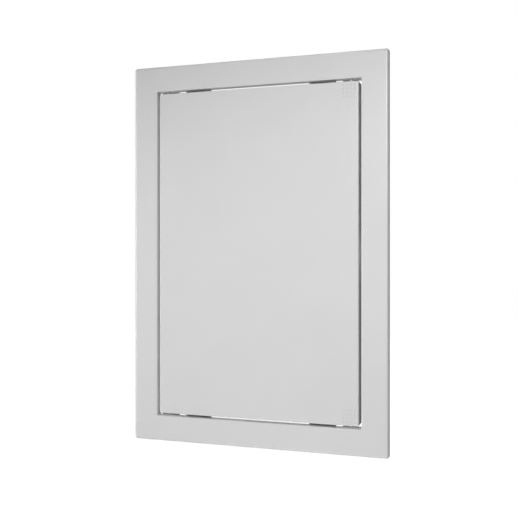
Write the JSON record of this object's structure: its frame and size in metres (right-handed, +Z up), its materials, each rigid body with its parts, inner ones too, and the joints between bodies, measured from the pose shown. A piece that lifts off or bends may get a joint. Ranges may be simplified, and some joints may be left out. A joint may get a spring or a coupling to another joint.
{
  "type": "access panel",
  "caption": "Flush plastic access panel: a flat frame with a rounded rim and a collar for a wall cut-out, and a door that swings on snap pivots and carries press dots.",
  "frame": {"origin": "on the wall face of the frame's rim, at the middle of the frame's bottom edge", "axes": "+X to the right as seen from the room, +Y into the wall, +Z up"},
  "size_m": [0.218, 0.0243, 0.318],
  "materials": {
    "frame_plastic": "smooth satin moulded surface, light grey white",
    "door_plastic": "smooth satin moulded surface, light grey white"
  },
  "bodies": {
    "frame": {"face_frame": "frame_plastic", "wall_collar": "frame_plastic", "hinge_pivot_top": "frame_plastic", "hinge_pivot_bottom": "frame_plastic", "catch_pivot_top": "frame_plastic", "catch_pivot_bottom": "frame_plastic", "door_stop_top_left": "frame_plastic", "door_stop_top_right": "frame_plastic", "door_stop_bottom_left": "frame_plastic", "door_stop_bottom_right": "frame_plastic"},
    "door": {"door_leaf": "door_plastic", "hinge_clip_top": "door_plastic", "hinge_clip_bottom": "door_plastic", "catch_clip_top": "door_plastic", "catch_clip_bottom": "door_plastic", "press_dots_top": "door_plastic", "press_dots_bottom": "door_plastic"}
  },
  "joints": [
    {"name": "door_hinge", "type": "hinge", "parent": "frame", "child": "door", "pos_m": [-0.079, 0.001, 0.159], "axis": [0, 0, -1], "range_deg": [0, 120]}
  ]
}
